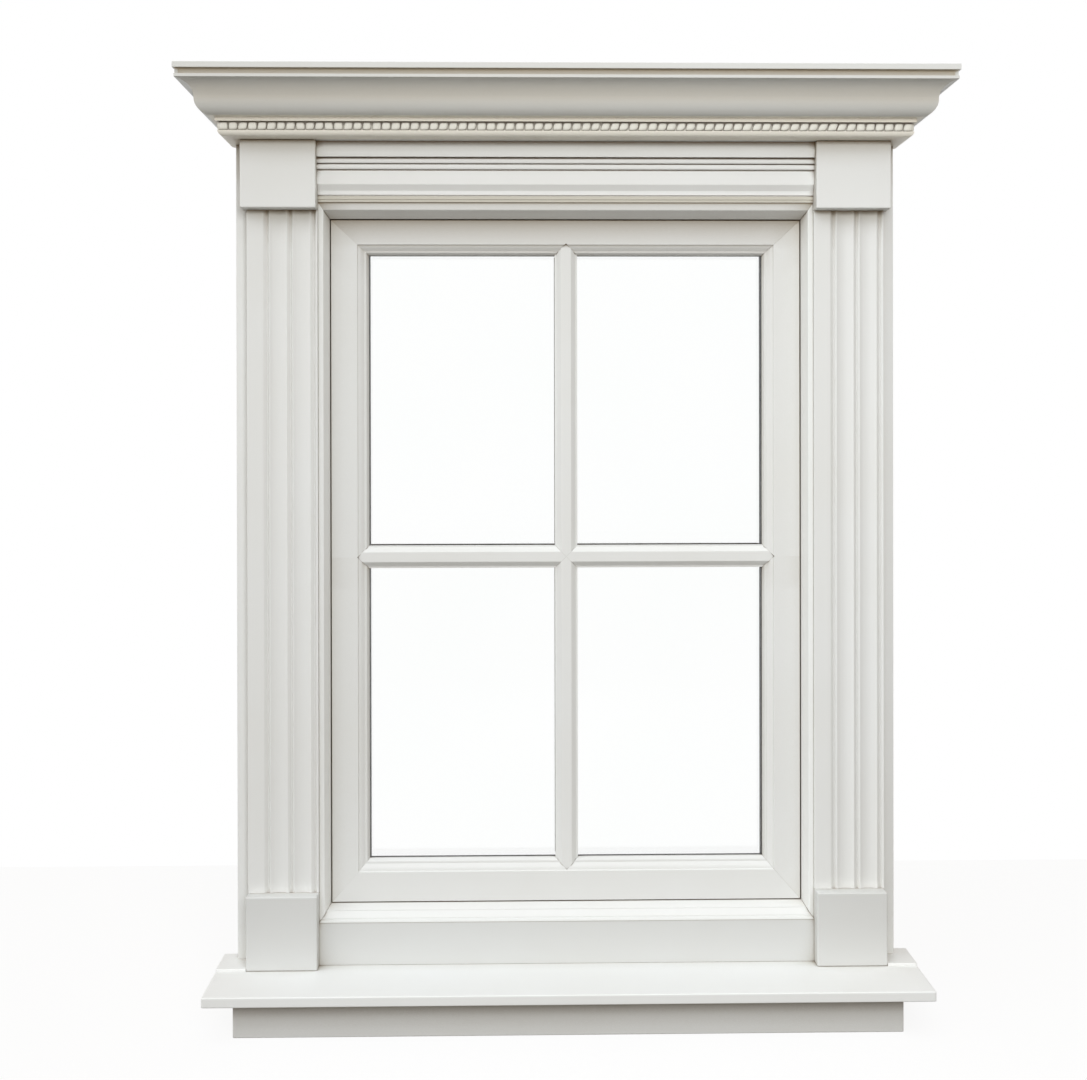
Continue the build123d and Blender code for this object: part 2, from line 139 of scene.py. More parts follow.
# one visual piece that stands for its CAD node: shells of (points, quads, end faces) put one
# after another, faces outward, smooth below the crease angle in degrees
def piece(node, shells, paint, crease=38):
    points, faces, base = [], [], 0
    for shellPoints, quads, ends in shells:
        points.append(shellPoints)
        faces += (quads + base).tolist() + [(end + base).tolist() for end in ends]
        base += len(shellPoints)
    mesh = bpy.data.meshes.new(node + "_made")
    mesh.from_pydata((np.concatenate(points) * millimetre).tolist(), [], faces)
    work = bmesh.new()
    work.from_mesh(mesh)
    bmesh.ops.recalc_face_normals(work, faces=work.faces)
    work.to_mesh(mesh)
    work.free()
    mesh.polygons.foreach_set("use_smooth", np.ones(len(mesh.polygons), bool))
    mesh.set_sharp_from_angle(angle=radians(crease))
    mesh.materials.append(paint)
    made = bpy.data.objects.new(node + "_made", mesh)
    bpy.context.scene.collection.objects.link(made)
    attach(made, "root")
    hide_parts(node)


# a new material with its node tree and its shader
def newMaterial(name):
    material = bpy.data.materials.new(name)
    material.use_nodes = True
    tree = material.node_tree
    return material, tree, tree.nodes["Principled BSDF"]


# noise on object coordinates, which are in metres, multiplied by the stretch along x, y and z
def noiseOn(tree, stretch, scale, detail, roughness=0.5):
    coordinate = tree.nodes.new("ShaderNodeTexCoord")
    mapping = tree.nodes.new("ShaderNodeMapping")
    noise = tree.nodes.new("ShaderNodeTexNoise")
    mapping.inputs["Scale"].default_value = stretch
    noise.inputs["Scale"].default_value = scale
    noise.inputs["Detail"].default_value = detail
    noise.inputs["Roughness"].default_value = roughness
    tree.links.new(coordinate.outputs["Object"], mapping.inputs["Vector"])
    tree.links.new(mapping.outputs["Vector"], noise.inputs["Vector"])
    return noise.outputs["Fac"]


# a value moved in proportion from low..high to toLow..toHigh, and held at those ends
def rangeOf(tree, value, low, high, toLow, toHigh):
    node = tree.nodes.new("ShaderNodeMapRange")
    node.inputs["From Min"].default_value = low
    node.inputs["From Max"].default_value = high
    node.inputs["To Min"].default_value = toLow
    node.inputs["To Max"].default_value = toHigh
    tree.links.new(value, node.inputs["Value"])
    return node.outputs["Result"]


# two outputs multiplied, or the larger of them, as the operation says
def mathOf(tree, operation, first, second):
    node = tree.nodes.new("ShaderNodeMath")
    node.operation = operation
    tree.links.new(first, node.inputs[0])
    tree.links.new(second, node.inputs[1])
    return node.outputs["Value"]


# first (1 - factor) + second factor, of two colours that are three numbers or an output
def colourBetween(tree, factor, first, second):
    node = tree.nodes.new("ShaderNodeMix")
    node.data_type = "RGBA"
    for socket, value in (("A", first), ("B", second)):
        if isinstance(value, tuple):
            node.inputs[socket].default_value = (*value, 1)
        else:
            tree.links.new(value, node.inputs[socket])
    tree.links.new(factor, node.inputs["Factor"])
    return node.outputs["Result"]


# mask for painted shade: 1 where ledges within the reach in metres keep the sky off, 0 in the open:
# the share of light that comes round a direction leant upward from the face, so that what lies
# above a ledge gets no painted shade; at the share deep the result is 1, and from the share clear it is 0
def shelterOf(tree, reach, deep, clear, lean=0.8):
    face = tree.nodes.new("ShaderNodeNewGeometry")
    leant = tree.nodes.new("ShaderNodeVectorMath")
    leant.inputs[1].default_value = (0, 0, lean)
    level = tree.nodes.new("ShaderNodeVectorMath")
    level.operation = "NORMALIZE"
    sky = tree.nodes.new("ShaderNodeAmbientOcclusion")
    sky.samples = 8
    sky.inputs["Distance"].default_value = reach
    tree.links.new(face.outputs["Normal"], leant.inputs[0])
    tree.links.new(leant.outputs["Vector"], level.inputs[0])
    tree.links.new(level.outputs["Vector"], sky.inputs["Normal"])
    return rangeOf(tree, sky.outputs["AO"], deep, clear, 1, 0)


# the surface's direction bent by the slope of the height, on top of the direction given
def bumpFrom(tree, height, strength, distance, normal=None):
    node = tree.nodes.new("ShaderNodeBump")
    node.inputs["Strength"].default_value = strength
    node.inputs["Distance"].default_value = distance
    tree.links.new(height, node.inputs["Height"])
    if normal is not None:
        tree.links.new(normal, node.inputs["Normal"])
    return node.outputs["Normal"]


# paint: faint clouds mix clean with worn; painted shade darkens it under wide ledges and, browner,
# in narrow corners and gaps; for each of the two, an entry ending in At gives the reach in metres
# and the shares deep and clear
paintLook = {
    "clean": (0.79, 0.80, 0.79),
    "worn": (0.77, 0.775, 0.755),
    "cloudScale": 3.5,
    # colour of the painted shade under wide ledges
    "shade": (0.42, 0.38, 0.31),
    "shadeAt": (0.06, 0.1, 0.65),
    # colour of the browner painted shade in narrow corners and gaps
    "cornerShade": (0.20, 0.14, 0.08),
    "cornerShadeAt": (0.012, 0.1, 0.55),
    "roughness": (0.38, 0.52),
    "specular": 0.4,
    "brushScale": 90,
    "brush": 0.12,
    "brushDeep": 0.0004,  # metres
    "rippleScale": 60,
    "ripple": 0.10,
    "rippleDeep": 0.0006,  # metres
}
# head: a browner painted shade that reaches further, under the architrave and the frame's head
headLook = dict(paintLook, shade=(0.33, 0.285, 0.22), shadeAt=(0.05, 0.35, 0.92))
# stiles: painted shade that reaches further, beside the frame
stileLook = dict(paintLook, shadeAt=(0.05, 0.3, 0.85))
# jambs: a lighter copy of the paint, painted light, with a shorter reach of corner shade
jambLook = dict(paintLook, clean=(0.86, 0.87, 0.86), worn=(0.84, 0.85, 0.83), cornerShadeAt=(0.006, 0.1, 0.5))
# sill: a lighter copy of the paint, painted light on its top
sillLook = dict(paintLook, clean=(0.87, 0.885, 0.88), worn=(0.85, 0.86, 0.845))
# under the sill: a darker painted shade beneath its overhang
underLook = dict(paintLook, shade=(0.27, 0.22, 0.165))
# apron and plinths: a darker copy of the paint, painted shade where the light falls off towards the bottom
lowerLook = dict(paintLook, clean=(0.68, 0.69, 0.68), worn=(0.66, 0.665, 0.65))
# foot is the colour below footBelow, a height in metres, where wide ledges shade it less: a copy
# of the paint that is painted light or painted shade; the architrave's bands are a lighter copy,
# painted light, its darker foot is painted shade, and its browner corners are the painted shadow
# under the crown
architraveLook = dict(
    paintLook, clean=(0.85, 0.86, 0.85), worn=(0.83, 0.835, 0.815), shadeAt=(0.05, 0.0, 0.45),
    cornerShade=(0.15, 0.09, 0.04), cornerShadeAt=(0.012, 0.15, 0.6), foot=(0.61, 0.585, 0.51), footBelow=1.146,
)
# crown: a darker copy of the paint above the bead seat, painted shade under the cap, a warmer wide painted shade
# that reaches further, and a lighter foot below, painted light
crownLook = dict(
    paintLook, clean=(0.715, 0.73, 0.72), worn=(0.705, 0.715, 0.695), shade=(0.43, 0.375, 0.285),
    shadeAt=(0.09, 0.2, 0.97), cornerShade=(0.40, 0.33, 0.23), foot=(0.90, 0.87, 0.785), footBelow=1.2512,
)
# returns: painted shade of short reach, so their ends stay lighter
returnLook = dict(crownLook, shadeAt=(0.03, 0.0, 0.2))
# beads: a lighter copy of the paint, painted light, with dark brown painted shade in the gaps between them
beadLook = dict(
    paintLook, clean=(0.91, 0.90, 0.83), worn=(0.88, 0.86, 0.79), shadeAt=(0.03, 0.0, 0.3),
    cornerShade=(0.10, 0.07, 0.045), cornerShadeAt=(0.006, 0.1, 0.7),
)
footShade = 0.1  # share of the wide shade that stays on a foot
footEdge = 0.001  # metres in which the foot's colour gives way


# satin timber paint: base colour from clouds, with painted shade under ledges and in corners,
# roughness from the brush marks, and bump from a soft ripple with the brush marks over it
def timberPaint(name, stretch, look):
    material, tree, shader = newMaterial("painted_timber_" + name)
    brush = noiseOn(tree, stretch, look["brushScale"], 4, 0.6)
    cloud = noiseOn(tree, (1, 1, 1), look["cloudScale"], 3, 0.55)
    ripple = noiseOn(tree, (1, 1, 1), look["rippleScale"], 2, 0.5)
    colour = colourBetween(tree, rangeOf(tree, cloud, 0.35, 0.7, 0, 1), look["clean"], look["worn"])
    # painted shade under wide ledges
    shade = shelterOf(tree, *look["shadeAt"])
    # below footBelow the foot colour, a copy of the paint that is lighter (painted light) on the crown and darker
    # (painted shade) on the architrave, takes the place of most of the wide painted shade
    if "foot" in look:
        place = tree.nodes.new("ShaderNodeTexCoord")
        height = tree.nodes.new("ShaderNodeSeparateXYZ")
        tree.links.new(place.outputs["Object"], height.inputs["Vector"])
        above = rangeOf(tree, height.outputs["Z"], look["footBelow"], look["footBelow"] + footEdge, 0, 1)
        colour = colourBetween(tree, above, look["foot"], colour)
        shade = mathOf(tree, "MULTIPLY", shade, rangeOf(tree, above, 0, 1, footShade, 1))
    colour = colourBetween(tree, shade, colour, look["shade"])
    # browner painted shade in narrow corners and gaps
    colour = colourBetween(tree, shelterOf(tree, *look["cornerShadeAt"]), colour, look["cornerShade"])
    tree.links.new(colour, shader.inputs["Base Color"])
    tree.links.new(rangeOf(tree, brush, 0.3, 0.7, *look["roughness"]), shader.inputs["Roughness"])
    soft = bumpFrom(tree, ripple, look["ripple"], look["rippleDeep"])
    marks = bumpFrom(tree, brush, look["brush"], look["brushDeep"], soft)
    tree.links.new(marks, shader.inputs["Normal"])
    shader.inputs["Specular IOR Level"].default_value = look["specular"]
    return material


# brush marks are drawn out along the timber: level, upright, from front to back, or not at all
levelMarks, uprightMarks, deepMarks, evenMarks = (0.06, 1, 1), (1, 1, 0.06), (1, 0.06, 1), (1, 1, 1)
uprightPaint = timberPaint("upright", uprightMarks, paintLook)
levelPaint = timberPaint("level", levelMarks, paintLook)
headPaint = timberPaint("head", levelMarks, headLook)
stilePaint = timberPaint("stile", uprightMarks, stileLook)
jambPaint = timberPaint("jamb", uprightMarks, jambLook)
architravePaint = timberPaint("architrave", levelMarks, architraveLook)
underPaint = timberPaint("under", levelMarks, underLook)
sillPaint = timberPaint("sill", levelMarks, sillLook)
apronPaint = timberPaint("apron", levelMarks, lowerLook)
plinthPaint = timberPaint("plinth", uprightMarks, lowerLook)
crownPaint = timberPaint("crown", levelMarks, crownLook)
returnPaint = timberPaint("return", deepMarks, returnLook)
beadPaint = timberPaint("bead", evenMarks, beadLook)

glassLook = {"index": 1.45, "smearScale": 4, "roughness": (0, 0.015), "tints": ((1, 1, 1), (0.985, 0.995, 0.99))}
glass, glassTree, glassShader = newMaterial("clear_glass")
glassShader.inputs["Transmission Weight"].default_value = 1
glassShader.inputs["IOR"].default_value = glassLook["index"]
smear = noiseOn(glassTree, (1, 1, 1), glassLook["smearScale"], 2)
smearRoughness = rangeOf(glassTree, smear, 0.3, 0.7, *glassLook["roughness"])
glassTree.links.new(smearRoughness, glassShader.inputs["Roughness"])
glassTree.links.new(colourBetween(glassTree, smear, *glassLook["tints"]), glassShader.inputs["Base Color"])

spacerLook = {
    "tones": ((0.012, 0.012, 0.013), (0.035, 0.034, 0.033)),
    "roughness": (0.45, 0.65),
    "grainScale": 300,
    "grain": 0.15,
    "grainDeep": 0.0002,  # metres
}
spacerPaint, spacerTree, spacerShader = newMaterial("black_spacer")
grain = noiseOn(spacerTree, (1, 1, 1), spacerLook["grainScale"], 3)
grainRoughness = rangeOf(spacerTree, grain, 0.3, 0.7, *spacerLook["roughness"])
grainBump = bumpFrom(spacerTree, grain, spacerLook["grain"], spacerLook["grainDeep"])
spacerTree.links.new(colourBetween(spacerTree, grain, *spacerLook["tones"]), spacerShader.inputs["Base Color"])
spacerTree.links.new(grainRoughness, spacerShader.inputs["Roughness"])
spacerTree.links.new(grainBump, spacerShader.inputs["Normal"])

levelWords = ("rail", "head", "sill", "crown", "architrave", "board_bottom", "bar_left", "bar_right", "bead_top")
for name, node in cadNodes.items():
    if "glass" in name:
        chosen = glass
    elif "spacer" in name:
        chosen = spacerPaint
    else:
        chosen = levelPaint if any(word in name for word in levelWords) else uprightPaint
    node.data.materials.clear()
    node.data.materials.append(chosen)
print("materials ready")

# boards and blocks: the way their timber runs, their paint, the cut of their long arrises and
# the ease of their ends
boards = {
    "back_board_left": (up, uprightPaint, 0.8, 0.8),
    "back_board_right": (up, uprightPaint, 0.8, 0.8),
    "back_board_bottom": (right, levelPaint, 0.4, 0.4),
    "back_board_head": (right, levelPaint, 0.4, 0.4),
    "apron_board": (right, apronPaint, 0.8, 0.4),
    "corner_block_left": (up, uprightPaint, 2.2, 1.8),
    "corner_block_right": (up, uprightPaint, 2.2, 1.8),
    "plinth_block_left": (up, plinthPaint, 2.2, 1.8),
    "plinth_block_right": (up, plinthPaint, 2.2, 1.8),
    "under_sill_apron": (right, underPaint, 1.8, 1.8),
}
for node, (along, paint, cut, ease) in boards.items():
    low, high = boxOf(node)
    across, out = (axis for axis in (right, back, up) if axis @ along == 0)
    reach = high - low
    boardLoop = softened(rectangle(reach @ across, reach @ out, cut))
    piece(node, [carried(boardLoop, low, across, out, along, 0, reach @ along, (ease, ease))], paint)
print("boards and blocks made")

# frame round the sash, with its section measured outward from the joint; the nosing of its sill
# is (down from the joint, out from the sash's face, cut): two slopes and a small round
frameShape = {
    "joint": 3,
    "reveal": 14.5,
    "headReveal": 21.5,
    "bevel": 7,
    "stop": 12,
    "arris": 1.2,
    "rearArris": 0.8,
    "nosing": (
        (0, 0, 0.5), (6.4, 12.4, 0.5), (8, 12.6, 0.4), (15.8, 19.4, 0.5),
        (17.2, 19.6, 0.3), (18.4, 22.8, 1), (21.5, 24, 0.8),
    ),
    "mitres": (0.35, 0.45),  # ease of the left and of the right mitre, which shows as a fine groove
}
sashLow, sashHigh = boxOf("sash_stile_left")[0], boxOf("sash_stile_right")[1]
jambLow, jambHigh = boxOf("jamb_left")[0], boxOf("jamb_right")[1]
sashFront, sashBack = sashLow[1], sashHigh[1]
jambFront, jambBack = jambLow[1], jambHigh[1]
frameSide = sashHigh[0] + frameShape["joint"]
frameTop, frameFoot = sashHigh[2] + frameShape["joint"], sashLow[2] - frameShape["joint"]
wide, reveal, headReveal = jambHigh[0] - frameSide, frameShape["reveal"], frameShape["headReveal"]
rearRows = [
    (wide, 0, 0), (wide, jambBack, frameShape["rearArris"]),
    (-frameShape["stop"], jambBack, frameShape["rearArris"]), (-frameShape["stop"], sashBack, 0.4),
    (0, sashBack, 0.4),
]
jambLoop = softened([
    (0, sashFront, 0.5), (frameShape["bevel"], jambFront, frameShape["arris"]),
    (reveal, jambFront, 0.4), (reveal, 0, 0), *rearRows,
])
nosingRows = [(down, sashFront - out, cut) for down, out, cut in frameShape["nosing"]]
sillLoop = softened([*nosingRows, (headReveal, 0, 0), *rearRows])


# a distance from the joint taken round a mitre: in proportion as far as the reveals, which
# differ, and from there in proportion to the full width
def roundMitre(across, fromReveal, toReveal):
    beyond = toReveal + (across - fromReveal) * (wide - toReveal) / (wide - fromReveal)
    return np.where(across <= fromReveal, across * toReveal / fromReveal, beyond)


jambRise = roundMitre(jambLoop[:, 0], reveal, headReveal)
for name, side, groove in zip(("jamb_left", "jamb_right"), (-1, 1), frameShape["mitres"]):
    ends = frameFoot - jambRise, frameTop + jambRise
    shell = carried(jambLoop, (side * frameSide, 0, 0), side * right, back, up, *ends, (groove, groove))
    piece(name, [shell], jambPaint)
headLoop = np.stack([jambRise, jambLoop[:, 1]], 1)
headSide = frameSide + jambLoop[:, 0]
shell = carried(headLoop, (0, 0, frameTop), up, back, right, -headSide, headSide, frameShape["mitres"])
piece("frame_head", [shell], headPaint)
sillSide = frameSide + roundMitre(sillLoop[:, 0], headReveal, reveal)
shell = carried(sillLoop, (0, 0, frameFoot), -up, back, right, -sillSide, sillSide, frameShape["mitres"])
piece("frame_sill", [shell], levelPaint)
print("frame made")

# glazing bars, whose points are let into the sash's moulding, so the sash needs their half width
barShape = {"half": 17, "flat": 7.5, "thick": 11, "ledge": 5, "lip": 2.5, "mitre": 0.3}

# sash section, measured from its outer edge; the moulding is (across, in from the face, cut)
sashShape = {
    "stile": 54,
    "topRail": 50,
    "bottomRail": 61,
    "swell": 1.5,
    "rebate": 42,
    "lip": 3,
    "moulding": (
        (38, 0, 0.9), (38.6, 1.6, 0.5), (42, 2.4, 2.2), (47.6, 6.4, 0.6), (48.6, 6.2, 0.4), (50.6, 6.4, 0.9),
    ),
    "mitres": (0.12, 0.35),  # ease of the left and of the right mitre
}
stile, topRail, bottomRail = sashShape["stile"], sashShape["topRail"], sashShape["bottomRail"]
glassFront = 0  # the outer pane is flush with the wall's face
sashLoop = softened([
    (-sashShape["swell"], sashFront, 1),
    (stile - barShape["half"] * stile / topRail, sashFront, 0),
    (stile - barShape["half"], sashFront, 0),
    *((across, sashFront + inward, cut) for across, inward, cut in sashShape["moulding"]),
    (stile, glassFront - sashShape["lip"], 0.6),
    (stile, glassFront, 0),
    (sashShape["rebate"], glassFront, 0),
    (sashShape["rebate"], sashBack, 0.6),
    (-sashShape["swell"], sashBack, 1),
])
sashAcross = sashLoop[:, 0]
paneSide, paneLow, paneHigh = sashHigh[0] - stile, sashLow[2] + bottomRail, sashHigh[2] - topRail
barLevel = (paneLow + paneHigh) / 2


# depth of a bar's point where it cuts a stile or rail of the given width: one for one with the
# distance past its tip, in front of the glass only
def notchAt(across, width):
    return np.where(sashLoop[:, 1] < glassFront + 0.5, np.maximum(across - (width - barShape["half"]), 0), 0)


notch = notchAt(sashAcross, stile)
lowerEnd, upperEnd = sashLow[2] + sashAcross * bottomRail / stile, sashHigh[2] - sashAcross * topRail / stile
for name, side, groove in zip(("sash_stile_left", "sash_stile_right"), (-1, 1), sashShape["mitres"]):
    place = (side * sashHigh[0], 0, 0)
    piece(name, [
        carried(sashLoop, place, -side * right, back, up, lowerEnd, barLevel - notch, (groove, 0)),
        carried(sashLoop, place, -side * right, back, up, barLevel + notch, upperEnd, (0, groove)),
    ], stilePaint)
leftGroove, rightGroove = sashShape["mitres"]
railEnd = sashHigh[0] - sashAcross
for name, width, level, inward, paint in (
    ("sash_top_rail", topRail, sashHigh[2], -up, headPaint),
    ("sash_bottom_rail", bottomRail, sashLow[2], up, levelPaint),
):
    railLoop = sashLoop * (width / stile, 1)
    notch = notchAt(railLoop[:, 0], width)
    piece(name, [
        carried(railLoop, (0, 0, level), inward, back, right, -railEnd, -notch, (leftGroove, 0)),
        carried(railLoop, (0, 0, level), inward, back, right, notch, railEnd, (0, rightGroove)),
    ], paint)
print("sash made")

# glazing bars: four arms mitred where they cross, each ending in a point
half, flat, lip = barShape["half"], barShape["flat"], barShape["lip"]
thick, ledge, grooves = barShape["thick"], barShape["ledge"], (barShape["mitre"], barShape["mitre"])
barLoop = softened([
    (-half, 0, 0), (-half, ledge, 0.6), (-half + lip, ledge, 0.4), (-flat, thick, 0.8), (0, thick, 0),
    (flat, thick, 0.8), (half - lip, ledge, 0.4), (half, ledge, 0.6), (half, 0, 0), (0, 0, 0),
])
barOff = np.abs(barLoop[:, 0])
for name, along, across, reach, paint in (
    ("glazing_bar_right", right, up, paneSide, levelPaint),
    ("glazing_bar_left", -right, up, paneSide, levelPaint),
    ("glazing_bar_top", up, right, paneHigh - barLevel, uprightPaint),
    ("glazing_bar_bottom", -up, right, barLevel - paneLow, uprightPaint),
):
    place = (0, glassFront, barLevel)
    piece(name, [carried(barLoop, place, across, -back, along, barOff, reach + half - barOff, grooves)], paint)
print("glazing bars made")

# spacers between the two panes, as wide as they show past the sash
spacerShape = {"rails": 8.6, "uprights": 11.3, "arris": 0.3, "steps": 4}
for part, inward, along in (("rails", up, right), ("uprights", right, up)):
    low, high = boxOf("spacer_" + part)
    section = rectangle(spacerShape[part], high[1] - low[1], spacerShape["arris"])
    spacerLoop = softened(section, spacerShape["steps"])
    shells = [
        carried(spacerLoop, edge * inward + low * back, way * inward, back, along, low @ along, high @ along)
        for edge, way in ((low, 1), (high, -1))
    ]
    piece("spacer_" + part, shells, spacerPaint)

# rear glazing beads: they cover the glass's edge and slope back from it
rearBeadShape = {"cover": 5.5, "slope": 2.5, "arris": 0.8, "foot": 0.3}
cover, slope = rearBeadShape["cover"], rearBeadShape["slope"]
uprightsOut = boxOf("rear_bead_left")[0][0]
for name, inward, along in (
    ("rear_bead_left", right, up), ("rear_bead_right", -right, up),
    ("rear_bead_bottom", up, right), ("rear_bead_top", -up, right),
):
    low, high = boxOf(name)
    deep = high[1] - low[1]
    wall = (low if inward.sum() > 0 else high) * np.abs(inward)
    rearLoop = softened([
        (0, 0, 0), (cover, 0, rearBeadShape["foot"]), (cover - slope, deep, rearBeadShape["arris"]), (0, deep, 0),
    ])
    ends = (low[2], high[2]) if along is up else (uprightsOut + cover, -uprightsOut - cover)
    shell = carried(rearLoop, wall + low * back, inward, back, along, *ends)
    piece(name, [shell], levelPaint if along is right else uprightPaint)
print("spacers and rear beads made")

# pilasters, each with three flutes that start at these distances from the left edge
pilasterShape = {
    "thick": 19,
    "flutes": (25, 59.5, 94),
    "quirk": 5,
    "drop": 4,
    "rise": 4,
    "shoulder": (3, 1.6, 2),  # across from the lip, in from the face, cut
    "hollow": (4.95, 9),  # in from the face, cut
}


# fluted section from the left edge: at each flute a quirk, a lip and a shallow hollow that
# runs to the next flute, and a flat after the last
def pilasterRows(width):
    thick, quirk = pilasterShape["thick"], pilasterShape["quirk"]
    stepIn, shoulderIn, shoulderCut = pilasterShape["shoulder"]
    hollowIn, hollowCut = pilasterShape["hollow"]
    starts = pilasterShape["flutes"]
    rows = [(0, 0, 0), (0, thick, 1.5)]
    for start, end in zip(starts, (*starts[1:], None)):
        lip = start + quirk + pilasterShape["rise"]
        rows += [(start, thick, 1), (start + quirk, thick - pilasterShape["drop"], 0.8), (lip, thick, 0.8)]
        if end is not None:
            rows += [
                (lip + stepIn, thick - shoulderIn, shoulderCut),
                ((lip + end) / 2, thick - hollowIn, hollowCut),
                (end - stepIn, thick - shoulderIn, shoulderCut),
            ]
    return rows + [(width, thick, 1.2), (width, 0, 0)]


for name in ("pilaster_left", "pilaster_right"):
    low, high = boxOf(name)
    pilasterLoop = softened(pilasterRows(high[0] - low[0]))
    place = (low[0], high[1], low[2])
    piece(name, [carried(pilasterLoop, place, right, -back, up, 0, high[2] - low[2], (0.3, 0.3))], uprightPaint)
print("pilasters made")

# head architrave, from its foot up: how far each member stands out from the wall, and the
# heights at which members begin, or begin and end
architraveShape = {
    "foot": 16,
    "footTall": 4,
    "lower": 17,
    "groove": (8.4, 10.6),
    "grooveDeep": 2,
    "cove": (16.6, 24.8),
    "band": 23,
    "bandTop": 45.5,
    "quirk": 20.8,
    "reed": 25.4,
    "reeds": ((47.2, 54.6), (56, 63.4)),
    "reedCut": 2.6,
    "upper": 28,
    "upperFoot": 65,
    "ease": 0.2,
}


# section of the architrave from the wall: foot, groove, cove, band, reeds between quirks, upper band
def architraveRows(tall):
    shape = architraveShape
    lower, band, quirk, reed, upper = (shape[key] for key in ("lower", "band", "quirk", "reed", "upper"))
    grooveLow, grooveHigh = shape["groove"]
    coveLow, coveHigh = shape["cove"]
    rows = [
        (0, 0, 0), (shape["foot"], 0, 0.6), (shape["foot"], shape["footTall"], 0.6), (lower, shape["footTall"], 0.4),
        (lower, grooveLow, 0.3), (lower - shape["grooveDeep"], grooveLow + 0.4, 0.3),
        (lower - shape["grooveDeep"], grooveHigh - 0.4, 0.3), (lower, grooveHigh, 0.4),
        (lower, coveLow, 1), (band - 0.3, coveHigh, 0.5), (band, coveHigh + 0.8, 0.3), (band, shape["bandTop"], 0.8),
        (quirk, shape["bandTop"] + 0.4, 0.4),
    ]
    for reedLow, reedHigh in shape["reeds"]:
        rows += [(quirk, reedLow - 0.2, 0.3), (reed, reedLow, shape["reedCut"])]
        rows += [(reed, reedHigh, shape["reedCut"]), (quirk, reedHigh + 0.2, 0.3)]
    upperFoot = shape["upperFoot"]
    return rows + [(quirk, upperFoot, 0.3), (upper, upperFoot, 1), (upper, tall, 0.4), (0, tall, 0)]


low, high = boxOf("head_architrave")
architraveLoop = softened(architraveRows(high[2] - low[2]))
place, ease = (low[0], high[1], low[2]), architraveShape["ease"]
shell = carried(architraveLoop, place, -back, up, right, 0, high[0] - low[0], (ease, ease))
piece("head_architrave", [shell], architravePaint)
print("architrave made")

# sill: a slab that steps down and slopes to its nose, with a drip groove below and a horn at
# each end that keeps the full height, beside the plinth and behind it as far as the board
sillShape = {
    "horn": 58,
    "step": 4,
    "nose": 148,
    "fall": 4.5,
    "thick": 19,
    "drip": (128.5, 134.5),
    "dripDeep": 4,
    "board": 20,
    "nick": 0.2,  # overlap of horn and slab, and the width of the horn's corner at the board
    "ease": (1.2, 2),  # end ease of the slab and its stretch along the run
    "hornEase": (0.9, 1.5),
    "hornInset": 0.3,
}
low, high = boxOf("sill")
plinthEdge, boardEdge = boxOf("plinth_block_right")[1][0], boxOf("back_board_right")[1][0]
nose, thick, step, horn = (sillShape[key] for key in ("nose", "thick", "step", "horn"))
dripBack, dripFront = sillShape["drip"]
dripTop = sillShape["dripDeep"] - thick
slabLoop = softened([
    (0, -step, 0), (horn, -step, 0), (nose, -sillShape["fall"], 2.2), (nose, -thick, 1.8),
    (dripFront, -thick, 0.4), (dripFront, dripTop, 0.4), (dripBack, dripTop, 0.4), (dripBack, -thick, 0.4),
    (0, -thick, 0),
])
ease, stretch = sillShape["ease"]
place = (low[0], high[1], high[2])
shells = [carried(slabLoop, place, -back, up, right, 0, high[0] - low[0], (ease, ease), stretch)]
board, nick = sillShape["board"], sillShape["nick"]
hornLow = -step - nick
hornLoop = softened([
    (0, hornLow, 0), (board, hornLow, 0), (board + nick, hornLow, 0), (horn, hornLow, 0),
    (horn, 0, 1.2), (board + nick, 0, 0), (board, 0, 0), (0, 0, 0),
])
hornStart = np.where(hornLoop[:, 0] <= board + nick / 2, boardEdge, plinthEdge)
hornEnd = high[0] - sillShape["hornInset"]
ease, stretch = sillShape["hornEase"]
for side in (-1, 1):
    place = (0, high[1], high[2])
    shells.append(carried(hornLoop, place, -back, up, side * right, hornStart, hornEnd, (0, ease), stretch))
piece("sill", shells, sillPaint)
print("sill made")

# crown, from its foot up: how far each member stands out from the core, and the heights at
# which members begin and end; the groove under the cap is deeper in front than on the returns
crownShape = {
    "soffit": 7,
    "ovolo": (26.5, 7.3),
    "roundCut": 12,
    "seat": 20.5,
    "fillet": 29,
    "filletHeights": (20, 25.5),
    "swell": 53.5,
    "swellHeights": (39.5, 50),
    "swellCuts": (13, 10),
    "coveCut": 17,
    "bed": 76,
    "bedHeights": (71, 75.5),
    "cap": 78,
    "capHeights": (83.5, 92),
    "frontGroove": 7,
    "returnGroove": 3,
    "steps": 12,
}


